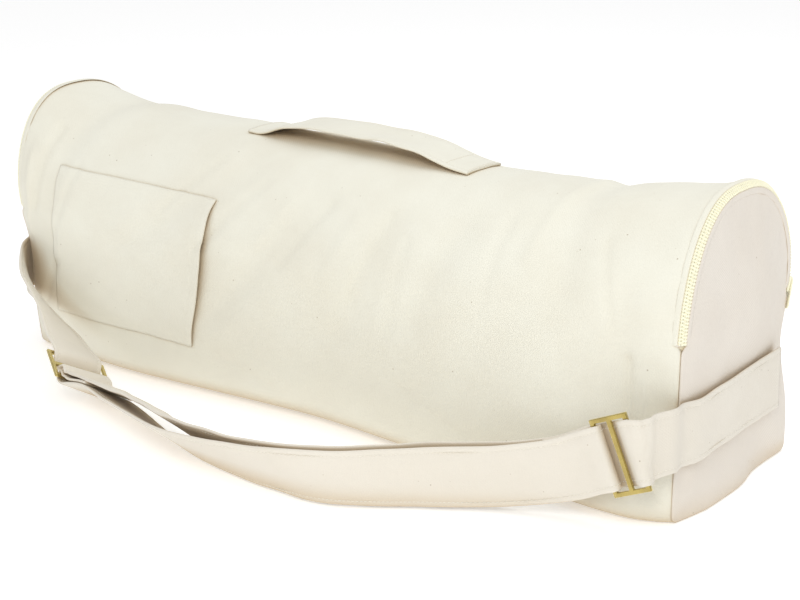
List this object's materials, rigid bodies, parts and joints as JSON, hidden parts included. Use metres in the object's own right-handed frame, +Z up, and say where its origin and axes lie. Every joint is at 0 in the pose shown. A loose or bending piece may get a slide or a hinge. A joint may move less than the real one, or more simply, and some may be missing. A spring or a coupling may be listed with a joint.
{
  "type": "yoga mat bag",
  "caption": "Hollow canvas tube bag with a flat base, arched zipped ends, a carry handle, a side pocket and an adjustable shoulder strap with brass sliders.",
  "frame": {"origin": "middle of the bag's flat base, on the surface it stands on", "axes": "+X along the bag towards the end shown nearer in the picture, -Y the front with the pocket and the strap's slack, +Z up"},
  "size_m": [0.7109, 0.3603, 0.247],
  "materials": {
    "canvas": "natural unbleached cotton canvas with dark flecks",
    "strap_canvas": "folded and topstitched heavy cotton canvas",
    "zip_tape": "woven polyester zip tape, cream",
    "zip_teeth": "moulded teeth and enamelled zip sliders, pale yellow",
    "brass": "brushed antique brass"
  },
  "bodies": {
    "root": {"body_wrap": "canvas", "end_panel_right": "canvas", "end_panel_left": "canvas", "zip_tape_right": "zip_tape", "zip_tape_left": "zip_tape", "zip_teeth_right": "zip_teeth", "zip_teeth_left": "zip_teeth", "zip_pull_right": "zip_teeth", "zip_pull_left": "zip_teeth", "carry_handle": "strap_canvas", "front_pocket": "canvas", "shoulder_strap": "strap_canvas", "middle_strap": "strap_canvas", "slider_right": "brass", "slider_left": "brass"}
  },
  "joints": []
}
